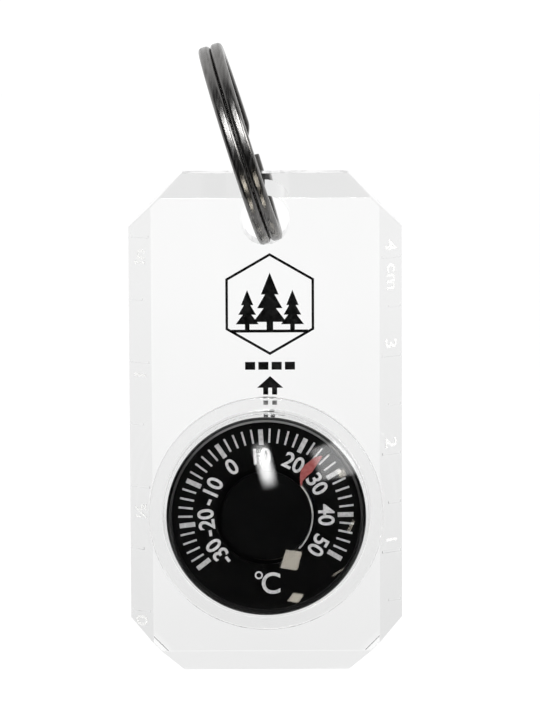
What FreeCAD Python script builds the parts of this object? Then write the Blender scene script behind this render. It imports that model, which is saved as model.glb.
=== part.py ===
import FreeCAD, Part

import math
import os

# A clear ruler tag with a domed dial thermometer, hung on a split ring. Millimetres, +Z up, the dial faces -Y.
# Origin: the centre of the split ring. The tag hangs below it, a little to +X and +Y.

# Driving dimensions
PLATE_WIDTH = 27.6
PLATE_HEIGHT = 50.7
PLATE_THICK = 6.0
BEVEL = 2.3
CORNER_CUT = 5.4
PLATE_EDGE_ROUND = 0.12
HOLE_RADIUS = 2.48
HOLE_ABOVE_FOOT = 46.15
DIAL_ABOVE_FOOT = 16.35

RING_OUTER = 10.35
STRAND_WIDE = 1.22
STRAND_DEEP = 1.5
STRAND_ROUND = 0.45
RING_PITCH = 1.24
RING_LEAN = 17.5
RING_REACH = 8.05
RING_FORWARD = 2.5
CRANK_AT = -2.6
CRANK_SPAN = 20.8
WIRE_END_GAP = 0.5

FLANGE_RADIUS = 11.85
FLANGE_SEAT = 0.6
FLANGE_TOP = 0.05
FLANGE_ROUND = 0.12
GATE_MARK_WIDE = 0.7
GATE_MARK_LONG = 0.9
GATE_MARK_HIGH = 0.06
WALL_FOOT_RADIUS = 10.4
WALL_FOOT_ROUND = 0.25
DOME_EDGE_RADIUS = 10.3
DOME_EDGE = 1.9
DOME_TOP = 5.2
LENS_BORE = 10.0
CEILING_EDGE = 1.7
CEILING_EDGE_RADIUS = 9.6
CEILING_TOP = 4.1

CUP_RADIUS = 9.9
CUP_WALL = 0.25
CUP_FLOOR = 0.6
CUP_BACK = 4.5
SEAT_GAP = 0.05

DIAL_TOP = 1.1
DIAL_THICK = 0.4
DIAL_OUTER = 9.5
DIAL_WINDOW = 4.85
DIAL_SHELF = 0.6
RETAINER_WIRE = 0.13
RETAINER_GAP = 0.02

POST_RADIUS = 0.8
COVER_RADIUS = 4.35
COVER_THICK = 0.4
COVER_TOP = 1.2

STRIP_THICK = 0.15
STRIP_WIDE = 1.6
STRIP_TOP = 0.65
COIL_START = 0.9
ARM_RADIUS = 4.47
COIL_TURNS = 5
COIL_OPENING = 1.5
STEPS_PER_TURN = 24
ARM_FROM = 48.0
ARM_TO = 135.0
ARM_TOP = 1.6
BLADE_THICK = 0.2
# The blade's stations from root to tip: distance from the dial's centre, clockwise angle, width.
BLADE_STATIONS = [
    (4.55, 48.5, 0.16),
    (5.1, 43.2, 0.45),
    (5.7, 41.0, 0.85),
    (6.3, 41.3, 1.0),
    (7.6, 41.6, 0.6),
    (8.15, 42.7, 0.12),
]

INCH = 25.4
MARK_WIDE = 0.24
MARK_DEEP = 0.1
MARK_INSET = 0.15
SHORT_MARK = 1.8
LONG_MARK = 2.7
CM_ZERO = 2.3

# Depths are measured forward from the plate's front face, so a depth d lies at Y = FRONT - d.
FRONT = -PLATE_THICK / 2
HALF_WIDTH = PLATE_WIDTH / 2
FOOT_Z = -RING_REACH * math.cos(math.radians(RING_LEAN)) - HOLE_ABOVE_FOOT
TAG_X = RING_REACH * math.sin(math.radians(RING_LEAN))
FRONTWARD = FreeCAD.Vector(0, -1, 0)
BACKWARD = FreeCAD.Vector(0, 1, 0)


def place_on_tag(shape, above_foot=0.0):
    """Move a shape made about the tag's foot to its place below the ring."""
    shape.translate(FreeCAD.Vector(TAG_X, RING_FORWARD, FOOT_Z + above_foot))
    return shape


def spun(outline):
    """Solid of revolution about Y. outline holds (radius, depth) points, or (middle, end) for an arc."""
    def vector(point):
        return FreeCAD.Vector(point[0], FRONT - point[1], 0)

    edges = []
    here = outline[0]
    for step in outline[1:] + [outline[0]]:
        if isinstance(step[0], tuple):
            middle, there = step
            edges.append(Part.Arc(vector(here), vector(middle), vector(there)).toShape())
        else:
            there = step
            edges.append(Part.LineSegment(vector(here), vector(there)).toShape())
        here = there
    face = Part.Face(Part.Wire(edges))
    return face.revolve(FreeCAD.Vector(0, 0, 0), BACKWARD, 360)


def disc(radius, depth_low, depth_high):
    """Round disc on the dial's axis between two depths."""
    foot = FreeCAD.Vector(0, FRONT - depth_low, 0)
    return Part.makeCylinder(radius, depth_high - depth_low, foot, FRONTWARD)


def prism(points, travel):
    """Straight solid from a closed loop of points."""
    loop = Part.makePolygon(points + [points[0]])
    return Part.Face(loop).extrude(travel)


def dome_ball(edge_radius, edge_depth, top_depth):
    """The sphere of the cap that runs from its edge to its top on the axis, with its poles off to the sides."""
    sag = top_depth - edge_depth
    radius = (edge_radius ** 2 + sag ** 2) / (2 * sag)
    ball = Part.makeSphere(radius)
    ball.rotate(FreeCAD.Vector(0, 0, 0), FreeCAD.Vector(1, 1, 1), 120)
    ball.translate(FreeCAD.Vector(0, FRONT - top_depth + radius, 0))
    return ball


def plate_blank():
    """The plate's eight-sided slab with a bevel down each of its four long sides."""
    w, h, c = HALF_WIDTH, PLATE_HEIGHT, CORNER_CUT
    corners = [(-w + c, 0), (w - c, 0), (w, c), (w, h - c), (w - c, h), (-w + c, h), (-w, h - c), (-w, c)]
    slab = prism([FreeCAD.Vector(x, FRONT, z) for x, z in corners], FreeCAD.Vector(0, PLATE_THICK, 0))
    over = 1.0
    for side in (-1, 1):
        wedge = prism(
            [
                FreeCAD.Vector(side * (w - BEVEL - over), FRONT - over, -over),
                FreeCAD.Vector(side * (w + over), FRONT - over, -over),
                FreeCAD.Vector(side * (w + over), FRONT + BEVEL + over, -over),
            ],
            FreeCAD.Vector(0, 0, h + 2 * over),
        )
        slab = slab.cut(wedge)
    for end, outward in ((0, -1), (h, 1)):
        wedge = prism(
            [
                FreeCAD.Vector(-w - over, FRONT - over, end - outward * (BEVEL + over)),
                FreeCAD.Vector(-w - over, FRONT - over, end + outward * over),
                FreeCAD.Vector(-w - over, FRONT + BEVEL + over, end + outward * over),
            ],
            FreeCAD.Vector(2 * (w + over), 0, 0),
        )
        slab = slab.cut(wedge)
    return slab.makeFillet(PLATE_EDGE_ROUND, slab.Edges)


def ruler_mark(side, above_foot, length):
    """Cutter for one ruler line, let into the side bevel from its outer edge."""
    mark = Part.makeBox(length, 2 * MARK_DEEP, MARK_WIDE)
    mark.translate(FreeCAD.Vector(MARK_INSET, -MARK_DEEP, -MARK_WIDE / 2))
    mark.rotate(FreeCAD.Vector(0, 0, 0), FreeCAD.Vector(0, 0, 1), -45)
    mark.translate(FreeCAD.Vector(-HALF_WIDTH, FRONT + BEVEL, above_foot))
    if side > 0:
        mark = mark.mirror(FreeCAD.Vector(0, 0, 0), FreeCAD.Vector(1, 0, 0))
    return mark


def ruler_marks():
    """Quarter inches up the left bevel and half centimetres up the right one."""
    marks = []
    for quarter in range(1, 8):
        length = LONG_MARK if quarter % 2 else SHORT_MARK
        marks.append(ruler_mark(-1, quarter * INCH / 4, length))
    for half_cm in range(1, 9):
        length = SHORT_MARK if half_cm % 2 else LONG_MARK
        marks.append(ruler_mark(1, CM_ZERO + 5.0 * half_cm, length))
    return marks


def baseplate():
    plate = plate_blank()
    hole = Part.makeCylinder(HOLE_RADIUS, PLATE_THICK + 2, FreeCAD.Vector(0, FRONT - 1, HOLE_ABOVE_FOOT), BACKWARD)
    lens_seat = disc(FLANGE_RADIUS + SEAT_GAP, -FLANGE_SEAT, 1.0)
    cup_well = disc(CUP_RADIUS + SEAT_GAP, -CUP_BACK - SEAT_GAP, 0.0)
    seats = lens_seat.fuse(cup_well)
    seats.translate(FreeCAD.Vector(0, 0, DIAL_ABOVE_FOOT))
    plate = plate.cut(hole).cut(seats)
    for mark in ruler_marks():
        plate = plate.cut(mark)
    return place_on_tag(plate)


def lens():
    """Clear capsule: a flange let flush into the plate, a short wall, and a dome with a hollow under it."""
    corner = FLANGE_ROUND * (1 - math.sqrt(0.5))
    foot = WALL_FOOT_ROUND * (1 - math.sqrt(0.5))
    under = SEAT_GAP - FLANGE_SEAT
    over = 1.0
    outline = [
        (0.0, under),
        (FLANGE_RADIUS, under),
        (FLANGE_RADIUS, FLANGE_TOP - FLANGE_ROUND),
        ((FLANGE_RADIUS - corner, FLANGE_TOP - corner), (FLANGE_RADIUS - FLANGE_ROUND, FLANGE_TOP)),
        (WALL_FOOT_RADIUS + WALL_FOOT_ROUND, FLANGE_TOP),
        ((WALL_FOOT_RADIUS + foot, FLANGE_TOP + foot), (WALL_FOOT_RADIUS, FLANGE_TOP + WALL_FOOT_ROUND)),
        (DOME_EDGE_RADIUS, DOME_EDGE),
        (DOME_EDGE_RADIUS, DOME_TOP + over),
        (0.0, DOME_TOP + over),
    ]
    capsule = spun(outline).common(dome_ball(DOME_EDGE_RADIUS, DOME_EDGE, DOME_TOP))
    ceiling = dome_ball(CEILING_EDGE_RADIUS, CEILING_EDGE, CEILING_TOP)
    capsule = capsule.cut(disc(LENS_BORE, under - over, CEILING_EDGE))
    capsule = capsule.cut(disc(CEILING_EDGE_RADIUS, CEILING_EDGE - over, CEILING_TOP + over).common(ceiling))
    middle = (WALL_FOOT_RADIUS + WALL_FOOT_ROUND + FLANGE_RADIUS) / 2
    mark_top = FLANGE_TOP + GATE_MARK_HIGH
    for side in (-1, 1):
        mark = Part.makeBox(GATE_MARK_WIDE, mark_top, GATE_MARK_LONG)
        mark.translate(FreeCAD.Vector(-GATE_MARK_WIDE / 2, FRONT - mark_top, side * middle - GATE_MARK_LONG / 2))
        capsule = capsule.fuse(mark)
    return place_on_tag(capsule, DIAL_ABOVE_FOOT)


def case_cup():
    """Black well: a floor, a wall up to the lens, and an inner shelf that the dial lies on."""
    rim = CEILING_EDGE - SEAT_GAP
    shelf = DIAL_TOP - DIAL_THICK
    inside = CUP_RADIUS - CUP_WALL
    outline = [
        (0.0, -CUP_BACK),
        (CUP_RADIUS, -CUP_BACK),
        (CUP_RADIUS, rim),
        (inside, rim),
        (inside, shelf),
        (inside - DIAL_SHELF, shelf),
        (inside - DIAL_SHELF, -CUP_BACK + CUP_FLOOR),
        (0.0, -CUP_BACK + CUP_FLOOR),
    ]
    return place_on_tag(spun(outline), DIAL_ABOVE_FOOT)


def dial_plate():
    bottom = DIAL_TOP - DIAL_THICK
    dial = disc(DIAL_OUTER, bottom, DIAL_TOP).cut(disc(DIAL_WINDOW, bottom - 1, DIAL_TOP + 1))
    return place_on_tag(dial, DIAL_ABOVE_FOOT)


def retaining_ring():
    """Thin wire ring, sprung into the cup on top of the dial's edge."""
    radius = CUP_RADIUS - CUP_WALL - RETAINER_WIRE - RETAINER_GAP
    centre = FreeCAD.Vector(0, FRONT - DIAL_TOP - RETAINER_WIRE, 0)
    return place_on_tag(Part.makeTorus(radius, RETAINER_WIRE, centre, FRONTWARD), DIAL_ABOVE_FOOT)


def centre_post():
    bottom = -CUP_BACK + CUP_FLOOR
    return place_on_tag(disc(POST_RADIUS, bottom, COVER_TOP - COVER_THICK), DIAL_ABOVE_FOOT)


def coil_cover():
    return place_on_tag(disc(COVER_RADIUS, COVER_TOP - COVER_THICK, COVER_TOP), DIAL_ABOVE_FOOT)


def dial_point(radius, clockwise, depth):
    """A point over the dial; the angle runs clockwise from the top, as the scale does."""
    angle = math.radians(clockwise)
    return FreeCAD.Vector(radius * math.sin(angle), FRONT - depth, radius * math.cos(angle))


def spiral_edge(offset, end_radius, end_angle):
    """One side of the bimetal strip: it winds out from the post, each turn wider spaced than the last."""
    steps = STEPS_PER_TURN * COIL_TURNS
    points = []
    for step in range(steps + 1):
        share = step / steps
        radius = COIL_START + (end_radius - COIL_START) * share ** COIL_OPENING + offset
        points.append(dial_point(radius, end_angle + 360 * COIL_TURNS * (1 - share), STRIP_TOP))
    curve = Part.BSplineCurve()
    curve.interpolate(points)
    return curve.toShape(), points


def bimetal_coil():
    """Flat spiral strip under the cover, from the post out to where the pointer's arm begins."""
    inner, inner_points = spiral_edge(0.0, ARM_RADIUS, ARM_TO)
    outer, outer_points = spiral_edge(STRIP_THICK, ARM_RADIUS, ARM_TO)
    start = Part.LineSegment(inner_points[0], outer_points[0]).toShape()
    end = Part.LineSegment(inner_points[-1], outer_points[-1]).toShape()
    face = Part.Face(Part.Wire(Part.__sortEdges__([inner, end, outer, start])))
    strip = face.extrude(BACKWARD * STRIP_WIDE)
    return place_on_tag(strip, DIAL_ABOVE_FOOT)


def pointer_arm():
    """The strip's last stretch, seen on edge in the gap round the cover, which carries the blade."""
    inner = ARM_RADIUS
    outer = ARM_RADIUS + STRIP_THICK
    middle = (ARM_FROM + ARM_TO) / 2
    bottom = STRIP_TOP - STRIP_WIDE
    edges = [
        Part.Arc(
            dial_point(inner, ARM_FROM, bottom),
            dial_point(inner, middle, bottom),
            dial_point(inner, ARM_TO, bottom),
        ).toShape(),
        Part.LineSegment(dial_point(inner, ARM_TO, bottom), dial_point(outer, ARM_TO, bottom)).toShape(),
        Part.Arc(
            dial_point(outer, ARM_TO, bottom),
            dial_point(outer, middle, bottom),
            dial_point(outer, ARM_FROM, bottom),
        ).toShape(),
        Part.LineSegment(dial_point(outer, ARM_FROM, bottom), dial_point(inner, ARM_FROM, bottom)).toShape(),
    ]
    arm = Part.Face(Part.Wire(edges)).extrude(FRONTWARD * (ARM_TOP - bottom))
    return place_on_tag(arm, DIAL_ABOVE_FOOT)


def pointer_blade():
    """Flat leaf on the arm's free end: it leaves along the strip, bends outward and ends in a point."""
    early_side = []
    late_side = []
    for radius, clockwise, width in BLADE_STATIONS:
        half_angle = math.degrees(width / 2 / radius)
        early_side.append(dial_point(radius, clockwise - half_angle, ARM_TOP))
        late_side.append(dial_point(radius, clockwise + half_angle, ARM_TOP))
    points = early_side + late_side[::-1]
    return place_on_tag(prism(points, FRONTWARD * BLADE_THICK), DIAL_ABOVE_FOOT)


def strand_section(angle, sideways):
    """The strand's rounded section at an angle round the ring; 0 is the far side and 90 the top."""
    a = math.radians(angle)
    out = FreeCAD.Vector(0, math.cos(a), math.sin(a))
    side = FreeCAD.Vector(1, 0, 0)
    middle = out * (RING_OUTER - STRAND_DEEP / 2) + side * sideways
    half_out = STRAND_DEEP / 2
    half_side = STRAND_WIDE / 2
    inset = STRAND_ROUND * (1 - math.sqrt(0.5))
    edges = []
    corners = [(1, 1), (-1, 1), (-1, -1), (1, -1)]
    for number, (o, s) in enumerate(corners):
        flat_on_out = middle + out * o * half_out + side * s * (half_side - STRAND_ROUND)
        on_corner = middle + out * o * (half_out - inset) + side * s * (half_side - inset)
        flat_on_side = middle + out * o * (half_out - STRAND_ROUND) + side * s * half_side
        ends = (flat_on_out, flat_on_side) if number % 2 == 0 else (flat_on_side, flat_on_out)
        edges.append(Part.Arc(ends[0], on_corner, ends[1]).toShape())
    loop = []
    for number, arc in enumerate(edges):
        following = edges[(number + 1) % 4]
        loop.append(arc)
        loop.append(Part.LineSegment(arc.Vertexes[-1].Point, following.Vertexes[0].Point).toShape())
    return Part.Wire(loop)


def strand_arc(start, end, sideways):
    """A stretch of strand that keeps to one side of the ring."""
    face = Part.Face(strand_section(start, sideways))
    return face.revolve(FreeCAD.Vector(0, 0, 0), FreeCAD.Vector(1, 0, 0), end - start)


def split_ring():
    """Two flat turns side by side, joined by a crank on the far side where the strand steps across."""
    half = CRANK_SPAN / 2
    left = -RING_PITCH / 2
    right = RING_PITCH / 2
    first = strand_arc(CRANK_AT + half + WIRE_END_GAP, CRANK_AT + 360 - half, left)
    second = strand_arc(CRANK_AT + half, CRANK_AT + 360 - half - WIRE_END_GAP, right)
    sections = []
    steps = 8
    for step in range(steps + 1):
        share = step / steps
        eased = share * share * (3 - 2 * share)
        sections.append(strand_section(CRANK_AT - half + CRANK_SPAN * share, left + RING_PITCH * eased))
    crank = Part.makeLoft(sections, True, False)
    ring = first.fuse(crank).fuse(second)
    ring.rotate(FreeCAD.Vector(0, 0, 0), BACKWARD, -RING_LEAN)
    return ring


PIECES = {
    "split_ring": split_ring,
    "baseplate": baseplate,
    "lens": lens,
    "case_cup": case_cup,
    "dial_plate": dial_plate,
    "retaining_ring": retaining_ring,
    "coil_cover": coil_cover,
    "centre_post": centre_post,
    "bimetal_coil": bimetal_coil,
    "pointer_arm": pointer_arm,
    "pointer_blade": pointer_blade,
}

os.makedirs("parts", exist_ok=True)
for name, make in PIECES.items():
    make().exportStep("parts/" + name + ".step")
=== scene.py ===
import math

import bpy
from mathutils import Matrix, Vector

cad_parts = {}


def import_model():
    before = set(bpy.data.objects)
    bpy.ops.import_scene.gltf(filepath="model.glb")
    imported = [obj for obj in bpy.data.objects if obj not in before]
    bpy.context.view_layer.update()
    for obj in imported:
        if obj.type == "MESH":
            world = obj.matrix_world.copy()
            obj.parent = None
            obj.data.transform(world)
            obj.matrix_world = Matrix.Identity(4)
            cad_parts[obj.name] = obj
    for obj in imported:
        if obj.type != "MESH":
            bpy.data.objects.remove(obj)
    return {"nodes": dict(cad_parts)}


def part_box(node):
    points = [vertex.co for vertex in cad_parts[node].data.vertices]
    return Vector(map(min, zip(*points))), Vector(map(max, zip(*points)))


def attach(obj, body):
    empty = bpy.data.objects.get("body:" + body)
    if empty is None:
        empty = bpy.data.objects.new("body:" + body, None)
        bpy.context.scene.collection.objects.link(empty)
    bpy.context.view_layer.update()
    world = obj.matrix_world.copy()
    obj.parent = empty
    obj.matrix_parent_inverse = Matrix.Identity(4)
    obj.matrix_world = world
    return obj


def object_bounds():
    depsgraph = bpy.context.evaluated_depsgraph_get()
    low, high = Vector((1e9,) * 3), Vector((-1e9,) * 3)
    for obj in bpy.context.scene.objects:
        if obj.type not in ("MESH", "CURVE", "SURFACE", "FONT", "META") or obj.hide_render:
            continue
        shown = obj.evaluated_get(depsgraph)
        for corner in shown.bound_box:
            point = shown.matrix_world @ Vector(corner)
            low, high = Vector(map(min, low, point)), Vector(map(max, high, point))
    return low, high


# A clear ruler tag with a domed dial thermometer on a split ring. Metres, +Z up, the dial faces -Y.

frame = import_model()
cad_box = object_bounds()
nodes = frame["nodes"]

MM = 0.001
PLATE_LOW, PLATE_HIGH = (Vector(corner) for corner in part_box("baseplate"))
DIAL_LOW, DIAL_HIGH = (Vector(corner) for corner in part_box("dial_plate"))
TAG_X = (PLATE_LOW.x + PLATE_HIGH.x) / 2
FOOT_Z = PLATE_LOW.z
FRONT_Y = PLATE_LOW.y
DIAL_X = (DIAL_LOW.x + DIAL_HIGH.x) / 2
DIAL_Z = (DIAL_LOW.z + DIAL_HIGH.z) / 2
DIAL_Y = DIAL_LOW.y
LENS_FRONT_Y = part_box("lens")[0][1]
DOME_SPHERE = 17.7 * MM

# Middle of a side bevel: across from the plate's centre line, and back from its front face.
BEVEL_MIDDLE = 12.65 * MM
BEVEL_BACK = 1.15 * MM
PRINT_SHIFT = 0.45 * MM
INK_THICK = 0.01 * MM
ACRYLIC_IOR = 1.49

# The split ring's axis leans from +X toward +Z by this many degrees.
RING_LEAN = 17.5
RING_INNER = 8.85 * MM
FLOOR_DROP = 0.12

# The scale: degrees Celsius against clockwise angle from the top of the dial.
ANGLE_AT_ZERO = -34.7
ANGLE_PER_DEGREE = 3.104
SCALE_LOW, SCALE_HIGH = -30, 50

# The camera looks at TARGET from a little above it.
TARGET = Vector((TAG_X + PRINT_SHIFT, FRONT_Y, FOOT_Z + 32.0 * MM))
ELEVATION = math.radians(6.5)
DISTANCE = 0.5
EYE = TARGET + DISTANCE * Vector((0, -math.cos(ELEVATION), math.sin(ELEVATION)))


# ---------------------------------------------------------------- node helpers

def feed(tree, value, socket):
    """Give an input socket its value, which is a number, a colour or another node's output."""
    if isinstance(value, (int, float, tuple)):
        socket.default_value = value
    else:
        tree.links.new(value, socket)


def math_node(tree, operation, first, second, clamp=False):
    """A Math node; each of its two inputs is a socket or a number."""
    node = tree.nodes.new("ShaderNodeMath")
    node.operation = operation
    node.use_clamp = clamp
    feed(tree, first, node.inputs[0])
    feed(tree, second, node.inputs[1])
    return node.outputs[0]


def zero_to_one(tree, value):
    """A value that runs from -1 to 1, brought to the range from 0 to 1."""
    return math_node(tree, "ADD", math_node(tree, "MULTIPLY", value, 0.5), 0.5)


def vector_node(tree, operation, first, second=None):
    """A Vector Math node; each input is a socket or a vector."""
    node = tree.nodes.new("ShaderNodeVectorMath")
    node.operation = operation
    feed(tree, first, node.inputs[0])
    if second is not None:
        feed(tree, second, node.inputs[1])
    return node


def mixed_colour(tree, blend_type, factor, first, second):
    """A colour Mix node's result; the factor and both colours are sockets or values."""
    node = tree.nodes.new("ShaderNodeMix")
    node.data_type = "RGBA"
    node.blend_type = blend_type
    feed(tree, factor, node.inputs[0])
    feed(tree, first, node.inputs[6])
    feed(tree, second, node.inputs[7])
    return node.outputs[2]


def mapped(tree, value, low, high, interpolation="LINEAR"):
    """A value mapped so that low gives 0 and high gives 1."""
    node = tree.nodes.new("ShaderNodeMapRange")
    node.interpolation_type = interpolation
    node.inputs["From Min"].default_value = low
    node.inputs["From Max"].default_value = high
    tree.links.new(value, node.inputs["Value"])
    return node.outputs["Result"]


def split_axes(tree, vector):
    """The X, Y and Z outputs of a vector."""
    node = tree.nodes.new("ShaderNodeSeparateXYZ")
    tree.links.new(vector, node.inputs["Vector"])
    return node.outputs


def greys(*stops):
    """Colour stops from (position, grey) pairs."""
    return [(position, (grey, grey, grey)) for position, grey in stops]


# ---------------------------------------------------------------- materials

def new_material(name):
    """A material with its node tree and its Principled shader."""
    material = bpy.data.materials.new(name)
    material.use_nodes = True
    shader = material.node_tree.nodes["Principled BSDF"]
    return material, material.node_tree, shader


def add_noise(tree, scale, detail, stretch=(1, 1, 1)):
    """Noise over the object's own coordinates, in millimetres."""
    where = tree.nodes.new("ShaderNodeTexCoord")
    mapping = tree.nodes.new("ShaderNodeMapping")
    mapping.inputs["Scale"].default_value = [1 / MM * s for s in stretch]
    noise = tree.nodes.new("ShaderNodeTexNoise")
    noise.inputs["Scale"].default_value = scale
    noise.inputs["Detail"].default_value = detail
    tree.links.new(where.outputs["Object"], mapping.inputs["Vector"])
    tree.links.new(mapping.outputs["Vector"], noise.inputs["Vector"])
    return noise


def add_ramp(tree, source, stops):
    """The colour that a ramp with these stops gives for a value."""
    ramp = tree.nodes.new("ShaderNodeValToRGB")
    while len(ramp.color_ramp.elements) < len(stops):
        ramp.color_ramp.elements.new(0.5)
    for element, (position, colour) in zip(ramp.color_ramp.elements, stops):
        element.position = position
        element.color = (*colour, 1)
    tree.links.new(source, ramp.inputs["Fac"])
    return ramp.outputs["Color"]


def add_bump(tree, shader, height, strength, distance):
    """Fine surface relief from a height value."""
    bump = tree.nodes.new("ShaderNodeBump")
    bump.inputs["Strength"].default_value = strength
    bump.inputs["Distance"].default_value = distance
    tree.links.new(height, bump.inputs["Height"])
    tree.links.new(bump.outputs["Normal"], shader.inputs["Normal"])


def clear_acrylic(name, ripple, low, high):
    """Clear moulded plastic: a faint flow ripple and a faint grey tint that varies slightly."""
    material, tree, shader = new_material(name)
    shader.inputs["Transmission Weight"].default_value = 1.0
    shader.inputs["IOR"].default_value = ACRYLIC_IOR
    shader.inputs["Roughness"].default_value = 0.0
    flow = add_noise(tree, 0.12, 2.0, (1, 1, 0.5))
    tint = add_ramp(tree, flow.outputs["Fac"], [(0.3, low), (0.7, high)])
    tree.links.new(tint, shader.inputs["Base Color"])
    add_bump(tree, shader, flow.outputs["Fac"], ripple, 0.02 * MM)
    return material


def distance_from_ring_axis(tree):
    """How far a point of the surface lies from the split ring's axis."""
    lean = math.radians(RING_LEAN)
    axis = (math.cos(lean), 0, math.sin(lean))
    where = tree.nodes.new("ShaderNodeTexCoord").outputs["Object"]
    along = vector_node(tree, "DOT_PRODUCT", where, axis).outputs["Value"]
    shift = vector_node(tree, "SCALE", axis)
    tree.links.new(along, shift.inputs["Scale"])
    off_axis = vector_node(tree, "SUBTRACT", where, shift.outputs["Vector"])
    return vector_node(tree, "LENGTH", off_axis.outputs["Vector"]).outputs["Value"]


def nickel_steel():
    """Dark nickel plate over drawn wire: streaks along the strand, fine pits, rougher on the inner face,
    whose colour is darkened as painted shade.
    """
    material, tree, shader = new_material("nickel_steel")
    shader.inputs["Metallic"].default_value = 1.0
    streak = add_noise(tree, 1.6, 5.0, (3.0, 0.35, 0.35)).outputs["Fac"]
    colour = add_ramp(tree, streak, [(0.3, (0.19, 0.185, 0.18)), (0.7, (0.32, 0.315, 0.31))])
    rough = add_ramp(tree, streak, greys((0.3, 0.2), (0.75, 0.34)))
    pits = add_noise(tree, 6.0, 6.0)
    distance = distance_from_ring_axis(tree)
    # Toward the inner face: rougher, and the colour darkened as painted shade.
    polished_unshaded = mapped(tree, distance, RING_INNER + 0.05 * MM, RING_INNER + 0.25 * MM)
    painted_inner_shade = (0.06, 0.058, 0.056, 1)
    dull_rough = (0.5, 0.5, 0.5, 1)
    tree.links.new(mixed_colour(tree, "MIX", polished_unshaded, painted_inner_shade, colour), shader.inputs["Base Color"])
    tree.links.new(mixed_colour(tree, "MIX", polished_unshaded, dull_rough, rough), shader.inputs["Roughness"])
    add_bump(tree, shader, pits.outputs["Fac"], 0.25, 0.02 * MM)
    return material


def black_moulding(name, low, high, roughness):
    """Black plastic or paint with a faint mottle and fine grain."""
    material, tree, shader = new_material(name)
    shader.inputs["Specular IOR Level"].default_value = 0.2
    grain = add_noise(tree, 9.0, 5.0)
    mottle = add_noise(tree, 0.5, 3.0)
    colour = add_ramp(tree, mottle.outputs["Fac"], [(0.3, low), (0.7, high)])
    rough = add_ramp(tree, grain.outputs["Fac"], greys((0.3, roughness), (0.7, roughness + 0.15)))
    tree.links.new(colour, shader.inputs["Base Color"])
    tree.links.new(rough, shader.inputs["Roughness"])
    add_bump(tree, shader, grain.outputs["Fac"], 0.2, 0.01 * MM)
    return material


def ink(name, low, high, roughness=0.5):
    """Printed ink with slightly uneven cover."""
    material, tree, shader = new_material(name)
    cover = add_noise(tree, 3.0, 5.0)
    colour = add_ramp(tree, cover.outputs["Fac"], [(0.35, low), (0.6, high)])
    tree.links.new(colour, shader.inputs["Base Color"])
    shader.inputs["Roughness"].default_value = roughness
    shader.inputs["Specular IOR Level"].default_value = 0.15
    add_bump(tree, shader, cover.outputs["Fac"], 0.1, 0.005 * MM)
    return material


def strip_metal(name, low, high, roughness, metallic=1.0):
    """Rolled or drawn metal; a low metallic value stands for a dull, scattering surface."""
    material, tree, shader = new_material(name)
    shader.inputs["Metallic"].default_value = metallic
    rolled = add_noise(tree, 2.0, 4.0, (1, 4, 1))
    colour = add_ramp(tree, rolled.outputs["Fac"], [(0.3, low), (0.7, high)])
    rough = add_ramp(tree, rolled.outputs["Fac"], greys((0.3, roughness), (0.7, roughness + 0.12)))
    tree.links.new(colour, shader.inputs["Base Color"])
    tree.links.new(rough, shader.inputs["Roughness"])
    return material


def aged_wire():
    """The retaining ring's wire: a painted highlight along the top of the dial and painted shade toward the
    bottom.
    """
    material, tree, shader = new_material("aged_wire")
    shader.inputs["Metallic"].default_value = 0.2
    shader.inputs["Roughness"].default_value = 0.4
    where = tree.nodes.new("ShaderNodeTexCoord")
    up = split_axes(tree, where.outputs["Object"])["Z"]
    dial_radius = 9.5 * MM
    height = mapped(tree, up, DIAL_Z - dial_radius, DIAL_Z + dial_radius)
    # Painted shade at the bottom of the ring, a painted highlight at its top.
    stops = [(0.3, (0.01, 0.01, 0.01)), (0.75, (0.1, 0.1, 0.1)), (0.97, (0.42, 0.42, 0.41))]
    colour = add_ramp(tree, height, stops)
    tree.links.new(colour, shader.inputs["Base Color"])
    return material


def frosted_mark():
    """The moulded ruler figures: the plate's own plastic with a slightly dull, milky surface."""
    material, tree, shader = new_material("frosted_mark")
    shader.inputs["Base Color"].default_value = (0.9, 0.9, 0.89, 1.0)
    shader.inputs["Transmission Weight"].default_value = 0.5
    shader.inputs["IOR"].default_value = ACRYLIC_IOR
    grain = add_noise(tree, 5.0, 3.0)
    rough = add_ramp(tree, grain.outputs["Fac"], greys((0.3, 0.02), (0.7, 0.08)))
    tree.links.new(rough, shader.inputs["Roughness"])
    return material


MATERIALS = {
    "split_ring": nickel_steel(),
    "baseplate": clear_acrylic("clear_acrylic", 0.12, (0.955, 0.957, 0.955), (0.972, 0.973, 0.972)),
    "lens": clear_acrylic("clear_lens", 0.03, (0.985, 0.985, 0.985), (1.0, 1.0, 1.0)),
    "case_cup": black_moulding("black_plastic", (0.002, 0.002, 0.002), (0.004, 0.004, 0.004), 0.3),
    "dial_plate": black_moulding("dial_black", (0.0008, 0.0008, 0.0008), (0.0016, 0.0016, 0.0016), 0.5),
    "coil_cover": black_moulding("cover_black", (0.0008, 0.0008, 0.0008), (0.0016, 0.0016, 0.0016), 0.5),
    "retaining_ring": aged_wire(),
    "centre_post": strip_metal("brass_post", (0.5, 0.38, 0.16), (0.66, 0.52, 0.27), 0.25),
    "bimetal_coil": strip_metal("bimetal_strip", (0.05, 0.045, 0.04), (0.1, 0.09, 0.08), 0.4),
    "pointer_arm": strip_metal("arm_strip", (0.5, 0.5, 0.48), (0.8, 0.8, 0.78), 0.4, 0.35),
    "pointer_blade": ink("red_paint", (0.36, 0.09, 0.085), (0.46, 0.13, 0.125), 0.4),
}
for name, material in MATERIALS.items():
    for material_slot in nodes[name].material_slots:
        material_slot.material = material

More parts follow.
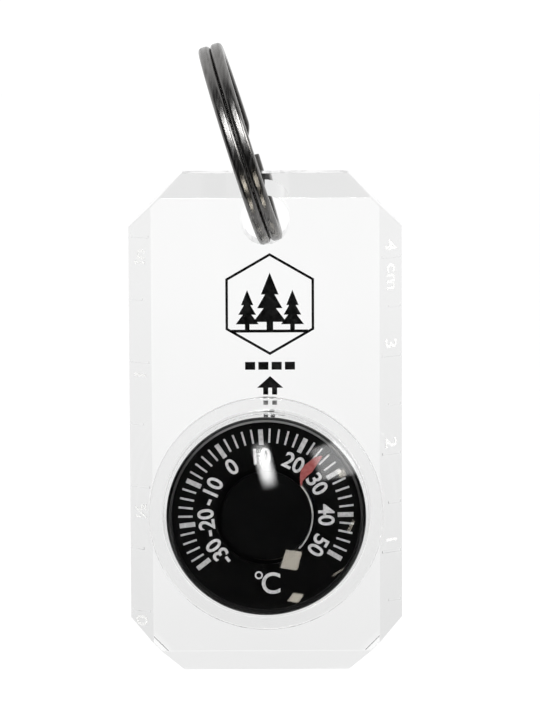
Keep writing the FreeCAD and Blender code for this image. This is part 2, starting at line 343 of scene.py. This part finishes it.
SCALE_INK = ink("scale_ink", (0.5, 0.5, 0.5), (0.66, 0.66, 0.66))
NUMERAL_INK = ink("numeral_ink", (0.62, 0.62, 0.62), (0.8, 0.8, 0.8))
BLACK_INK = ink("black_ink", (0.004, 0.004, 0.004), (0.014, 0.014, 0.014))
WORN_INK = ink("worn_ink", (0.2, 0.2, 0.2), (0.45, 0.45, 0.45))
MARK_PLASTIC = frosted_mark()


# ---------------------------------------------------------------- flat printed shapes

def turned(points, clockwise):
    """Points turned clockwise about the origin, as seen from the front."""
    a = math.radians(clockwise)
    return [(x * math.cos(a) + z * math.sin(a), -x * math.sin(a) + z * math.cos(a)) for x, z in points]


def add_piece(name, mesh):
    """Put a mesh in the scene as a visible piece that moves with the tag."""
    piece = bpy.data.objects.new(name, mesh)
    bpy.context.scene.collection.objects.link(piece)
    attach(piece, "tag")


def flat_print(name, shapes, centre, material):
    """Thin ink piece made of flat outlines, each a list of (x, z) points in metres about centre."""
    mesh = bpy.data.meshes.new(name)
    vertices, faces = [], []
    for outline in shapes:
        first = len(vertices)
        count = len(outline)
        for y in (-INK_THICK, 0.0):
            vertices += [(x, y, z) for x, z in outline]
        faces.append(list(range(first, first + count)))
        faces.append(list(range(first + 2 * count - 1, first + count - 1, -1)))
        for corner in range(count):
            after = (corner + 1) % count
            faces.append([first + corner, first + count + corner, first + count + after, first + after])
    mesh.from_pydata([Vector(v) + centre for v in vertices], [], faces)
    mesh.materials.append(material)
    mesh.validate()
    add_piece(name, mesh)


def bar(low_x, high_x, low_z, high_z):
    """A rectangle's outline."""
    return [(low_x, low_z), (high_x, low_z), (high_x, high_z), (low_x, high_z)]


def ring_strip(inner, outer, steps):
    """Quads that follow a full circle, as separate outlines."""
    strips = []
    for step in range(steps):
        (x0, z0), = turned([(0, 1)], 360 * step / steps)
        (x1, z1), = turned([(0, 1)], 360 * (step + 1) / steps)
        inside = [(x0 * inner, z0 * inner), (x1 * inner, z1 * inner)]
        outside = [(x1 * outer, z1 * outer), (x0 * outer, z0 * outer)]
        strips.append(inside + outside)
    return strips


def printed_text(
    name, words, size, place, turn, material,
    tilt=Matrix(), extrude=INK_THICK / 2, squeeze=1.0, weight=0.012,
):
    """Text as a mesh, read from the front and turned clockwise; squeeze narrows it, weight thickens it."""
    curve = bpy.data.curves.new(name, "FONT")
    curve.body = words
    curve.size = size
    curve.extrude = extrude
    curve.offset = weight * size
    curve.align_x = "CENTER"
    curve.align_y = "CENTER"
    holder = bpy.data.objects.new(name + "_text", curve)
    bpy.context.scene.collection.objects.link(holder)
    mesh = bpy.data.meshes.new_from_object(holder.evaluated_get(bpy.context.evaluated_depsgraph_get()))
    bpy.data.objects.remove(holder)
    low = Vector(min(v.co[i] for v in mesh.vertices) for i in range(3))
    high = Vector(max(v.co[i] for v in mesh.vertices) for i in range(3))
    upright = Matrix.Rotation(math.radians(90), 4, "X")
    spin = Matrix.Rotation(math.radians(turn), 4, "Y")
    mesh.transform(
        Matrix.Translation(place) @ tilt @ spin @ upright @ Matrix.Diagonal((squeeze, 1, 1, 1))
        @ Matrix.Translation(-(low + high) / 2)
    )
    mesh.materials.clear()
    mesh.materials.append(material)
    mesh.name = name
    add_piece(name, mesh)


# ---------------------------------------------------------------- the dial's scale

def scale_angle(degrees_c):
    """Clockwise angle of a reading from the top of the dial."""
    return ANGLE_AT_ZERO + ANGLE_PER_DEGREE * degrees_c


def dial_scale():
    """Ticks every two degrees, heavier every ten, and the numerals inside them."""
    centre = Vector((DIAL_X, DIAL_Y, DIAL_Z))
    fine, heavy = [], []
    for reading in range(SCALE_LOW, SCALE_HIGH + 1, 2):
        if reading % 10 == 0:
            tick = bar(-0.235 * MM, 0.235 * MM, 7.03 * MM, 8.62 * MM)
            heavy.append(turned(tick, scale_angle(reading)))
        else:
            tick = bar(-0.1 * MM, 0.1 * MM, 7.25 * MM, 8.7 * MM)
            fine.append(turned(tick, scale_angle(reading)))
    flat_print("scale_ticks_fine", fine, centre, SCALE_INK)
    flat_print("scale_ticks_heavy", heavy, centre, SCALE_INK)
    radius = 5.9 * MM
    for reading in range(SCALE_LOW, SCALE_HIGH + 1, 10):
        angle = scale_angle(reading)
        a = math.radians(angle)
        place = centre + Vector((radius * math.sin(a), -INK_THICK / 2, radius * math.cos(a)))
        printed_text(
            "numeral_" + str(reading).replace("-", "minus_"), str(reading), 2.22 * MM, place, angle,
            NUMERAL_INK, squeeze=0.95, weight=0.02,
        )


def unit_sign():
    """Degree ring and a C at the foot of the dial."""
    degree = Vector((DIAL_X - 0.75 * MM, DIAL_Y, DIAL_Z - 5.9 * MM))
    flat_print("degree_ring", ring_strip(0.24 * MM, 0.4 * MM, 32), degree, NUMERAL_INK)
    letter = Vector((DIAL_X + 0.45 * MM, DIAL_Y - INK_THICK / 2, DIAL_Z - 6.7 * MM))
    printed_text("unit_c", "C", 3.0 * MM, letter, 0, NUMERAL_INK, squeeze=0.95)


# ---------------------------------------------------------------- prints on the plate

def pine(x, foot, height):
    """A trunk and three tiers as one outline."""
    right = [(0.06, 0.0), (0.06, 0.14)]
    for tier in range(3):
        low = 0.14 + 0.25 * tier
        half = 0.3 - 0.07 * tier
        right.append((half, low))
        if tier < 2:
            right.append((half * 0.375, low + 0.25))
    left = [(-across, up) for across, up in reversed(right)]
    outline = right + [(0.0, 1.04)] + left
    return [(x + across * height, foot + up * height) for across, up in outline]


def print_place(above_foot):
    """A place for ink on the plate's back face, which shows through the plate from the front."""
    return Vector((TAG_X + PRINT_SHIFT, PLATE_HIGH.y + 2 * INK_THICK, FOOT_Z + above_foot))


def badge():
    """Generic sign in the print's place: a hexagon with three pines on a ground line."""
    centre = print_place(37.25 * MM)
    foot = -2.6 * MM
    sides = ring_strip(4.9 * MM, 5.2 * MM, 6)
    trees = [pine(x * MM, foot, height * MM) for x, height in ((0, 5.6), (-2.3, 3.9), (2.3, 3.9))]
    ground = [bar(-3.9 * MM, 3.9 * MM, -2.9 * MM, foot)]
    flat_print("badge", sides + trees + ground, centre, BLACK_INK)


def dashes():
    """Plain bars where the print had a word."""
    centre = print_place(30.95 * MM)
    pitch = 1.35 * MM
    bars = [bar((i - 0.38) * pitch, (i + 0.38) * pitch, -0.4 * MM, 0.4 * MM) for i in (-1.5, -0.5, 0.5, 1.5)]
    flat_print("dash_row", bars, centre, BLACK_INK)


def arrow():
    """Small arrow that points up to the ring."""
    centre = print_place(28.25 * MM)
    head = [(-1.33 * MM, 0.45 * MM), (1.33 * MM, 0.45 * MM), (0, 1.65 * MM)]
    sides = (-0.45 * MM, 0.45 * MM)
    legs = [bar(side - 0.26 * MM, side + 0.26 * MM, -0.25 * MM, 0.5 * MM) for side in sides]
    flat_print("arrow", [head] + legs, centre, BLACK_INK)
    ends = [bar(side - 0.24 * MM, side + 0.24 * MM, -1.3 * MM, -0.85 * MM) for side in sides]
    flat_print("arrow_ends", ends, centre, WORN_INK)


def moulded_figure(name, words, side, above_foot):
    """A ruler figure on a side bevel; its top points to the plate's edge."""
    thick = 0.03 * MM
    outward = Vector((side, -1, 0)).normalized()
    place = Vector((TAG_X + side * BEVEL_MIDDLE, FRONT_Y + BEVEL_BACK, FOOT_Z + above_foot)) + outward * thick
    tilt = Matrix.Rotation(math.radians(45 * side), 4, "Z")
    printed_text(name, words, 2.3 * MM, place, 90 * side, MARK_PLASTIC, tilt, thick / 2)


def moulded_figures():
    """Inches up the left bevel and centimetres up the right one, just above their lines."""
    inches = [("0", 5.3), ("½", 16.5), ("1", 30.4), ("in", 42.4)]
    centimetres = [("1", 13.5), ("2", 23.4), ("3", 33.5), ("cm", 40.3), ("4", 43.5)]
    for unit, side, figures in (("inch", -1, inches), ("cm", 1, centimetres)):
        for number, (words, above_foot) in enumerate(figures):
            moulded_figure(unit + "_figure_" + str(number), words, side, above_foot * MM)


# ---------------------------------------------------------------- rest of the scene

def floor():
    """Plain pale floor below the hanging tag, left out of mirrors and of the view through clear plastic."""
    mesh = bpy.data.meshes.new("floor")
    z = cad_box[0][2] - FLOOR_DROP
    corners = [(x, y, z) for x, y in bar(-3.0, 3.0, -3.0, 3.0)]
    mesh.from_pydata(corners, [], [(0, 1, 2, 3)])
    piece = bpy.data.objects.new("floor", mesh)
    bpy.context.scene.collection.objects.link(piece)
    material, _, shader = new_material("floor")
    shader.inputs["Base Color"].default_value = (0.96, 0.96, 0.96, 1)
    shader.inputs["Roughness"].default_value = 0.9
    shader.inputs["Specular IOR Level"].default_value = 0.0
    mesh.materials.append(material)
    piece.visible_glossy = False
    piece.visible_transmission = False


def world():
    """White backdrop for the eye and the soft fill; mirrors see a room that is dim in front of the dial."""
    studio = bpy.data.worlds.new("studio")
    bpy.context.scene.world = studio
    studio.use_nodes = True
    tree = studio.node_tree
    tree.nodes.clear()
    output = tree.nodes.new("ShaderNodeOutputWorld")
    path = tree.nodes.new("ShaderNodeLightPath")
    coords = tree.nodes.new("ShaderNodeTexCoord")
    axes = split_axes(tree, coords.outputs["Generated"])

    # The white backdrop, straight through the plastic: greyer where a bevel bends the view aside.
    facing = math_node(tree, "ABSOLUTE", axes["Y"], 0.0)
    straight = greys((0.0, 0.72), (0.6, 0.82), (0.86, 0.88), (0.95, 0.92), (0.986, 1.0))
    backdrop = add_ramp(tree, facing, straight)

    # It darkens a little below the level of the tag, and toward the ceiling.
    below = [(0.0, 0.9), (0.3, 0.93), (0.41, 0.86), (0.45, 0.99)]
    above = [(0.5, 1.0), (0.66, 0.92), (1.0, 0.9)]
    level = add_ramp(tree, zero_to_one(tree, axes["Z"]), greys(*below, *above))
    backdrop_colour = mixed_colour(tree, "MULTIPLY", 1.0, backdrop, level)

    # The room in mirrors: 0 is in front of the dial, 1 straight behind it.
    dim = [(0.0, 0.004), (0.33, 0.012)]
    bright = [(0.5, 0.6), (0.8, 0.82), (0.93, 0.88), (0.975, 0.92), (0.993, 1.0)]
    room = add_ramp(tree, zero_to_one(tree, axes["Y"]), greys(*dim, *bright))
    room_colour = mixed_colour(tree, "MULTIPLY", 1.0, room, level)

    # Light bounced about inside one clear piece comes from all round: from the second bounce on it is pale.
    bounces = math_node(tree, "DIVIDE", path.outputs["Glossy Depth"], 3.0, True)
    inside = add_ramp(tree, bounces, greys((0.0, 0.0), (0.33, 0.01), (0.66, 0.75), (1.0, 0.8)))
    entered = math_node(tree, "GREATER_THAN", path.outputs["Transmission Depth"], 0.5)
    one_piece = math_node(tree, "LESS_THAN", path.outputs["Transmission Depth"], 3.5)
    trapped = math_node(tree, "MULTIPLY", entered, one_piece)
    mirrored = mixed_colour(tree, "LIGHTEN", trapped, room_colour, inside)

    seen = mixed_colour(tree, "MIX", path.outputs["Glossy Depth"], backdrop_colour, mirrored)
    surroundings = tree.nodes.new("ShaderNodeBackground")
    tree.links.new(seen, surroundings.inputs["Color"])
    surroundings.inputs["Strength"].default_value = 1.07

    # Camera rays and anything that has scattered off a dull surface see plain white.
    white = tree.nodes.new("ShaderNodeBackground")
    white.inputs["Color"].default_value = (1, 1, 1, 1)
    white.inputs["Strength"].default_value = 1.08
    plain = math_node(tree, "ADD", path.outputs["Is Camera Ray"], path.outputs["Diffuse Depth"], True)
    choice = tree.nodes.new("ShaderNodeMixShader")
    tree.links.new(plain, choice.inputs["Fac"])
    tree.links.new(surroundings.outputs["Background"], choice.inputs[1])
    tree.links.new(white.outputs["Background"], choice.inputs[2])
    tree.links.new(choice.outputs["Shader"], output.inputs["Surface"])


def soften(light, edge):
    """Let an area light fade toward its edges; edge is the faded share of its half width and half height."""
    light.use_nodes = True
    tree = light.node_tree
    emission = tree.nodes["Emission"]
    place = tree.nodes.new("ShaderNodeNewGeometry")
    axes = split_axes(tree, place.outputs["Parametric"])
    fades = []
    for axis, share in zip("XY", edge):
        off_centre = math_node(tree, "SUBTRACT", axes[axis], 0.5)
        away = math_node(tree, "ABSOLUTE", off_centre, 0.0)
        fades.append(mapped(tree, away, 0.5, 0.5 * (1 - share), "SMOOTHSTEP"))
    tree.links.new(math_node(tree, "MULTIPLY", *fades), emission.inputs["Strength"])


def softbox(name, shine, size, brightness, edge, colour=(1, 1, 1), spin=0.0):
    """Area light that the dome mirrors at shine, an (x, z) offset from the dome's top in millimetres."""
    distance = 0.6
    x, z = shine[0] * MM, shine[1] * MM
    normal = Vector((x, -math.sqrt(DOME_SPHERE ** 2 - x * x - z * z), z)).normalized()
    top = Vector((DIAL_X, LENS_FRONT_Y, DIAL_Z))
    point = top + Vector((0, DOME_SPHERE, 0)) + normal * DOME_SPHERE
    view = (EYE - point).normalized()
    out = 2 * normal.dot(view) * normal - view
    light = bpy.data.lights.new(name, "AREA")
    light.shape = "RECTANGLE"
    light.size, light.size_y = size
    light.energy = brightness * math.pi * size[0] * size[1]
    light.color = colour
    soften(light, edge)
    lamp = bpy.data.objects.new(name, light)
    bpy.context.scene.collection.objects.link(lamp)
    lamp.location = point + out * distance
    facing = (-out).to_track_quat("-Z", "Y").to_matrix().to_4x4()
    lamp.rotation_euler = (facing @ Matrix.Rotation(math.radians(spin), 4, "Z")).to_euler()
    lamp.visible_camera = False
    lamp.visible_transmission = False


def lights():
    """A tall key light above, a side light, and five small warm cards low down and at the right."""
    beige = (1.0, 0.93, 0.8)
    softbox("key", (-0.1, 5.5), (0.15, 0.38), 26.0, (0.9, 0.75), spin=14.0)
    softbox("side", (6.8, 5.8), (0.34, 0.26), 6.0, (0.4, 0.3))
    softbox("card_low", (2.5, -4.05), (0.125, 0.15), 9.0, (0.2, 0.15), beige, spin=-8.0)
    softbox("card_lower", (2.95, -8.15), (0.08, 0.085), 9.0, (0.3, 0.3), beige)
    softbox("card_high_right", (7.6, 4.5), (0.07, 0.06), 7.0, (0.4, 0.4), beige)
    softbox("card_right", (8.5, -0.9), (0.035, 0.1), 5.0, (0.6, 0.6), beige, spin=-25.0)
    softbox("card_low_right", (7.2, -5.6), (0.02, 0.1), 5.0, (0.6, 0.6), beige, spin=-40.0)


def camera():
    """A little above the tag's middle, straight in front."""
    view_height = 0.0726
    roll = math.radians(0.25)
    lens = bpy.data.cameras.new("camera")
    lens.sensor_fit = "VERTICAL"
    lens.sensor_height = 24
    lens.lens = 24 * DISTANCE / view_height
    lens.clip_start = 0.01
    eye = bpy.data.objects.new("camera", lens)
    bpy.context.scene.collection.objects.link(eye)
    eye.location = EYE
    facing = (TARGET - EYE).to_track_quat("-Z", "Y")
    eye.rotation_euler = (facing.to_matrix().to_4x4() @ Matrix.Rotation(-roll, 4, "Z")).to_euler()
    bpy.context.scene.camera = eye


dial_scale()
unit_sign()
badge()
dashes()
arrow()
moulded_figures()
floor()
world()
lights()
camera()
bpy.context.scene.view_settings.view_transform = "Standard"

# Light runs along inside the clear plate by many mirror bounces, so the limits are wide.
cycles = bpy.context.scene.cycles
cycles.glossy_bounces = 16
cycles.transmission_bounces = 16
cycles.max_bounces = 32
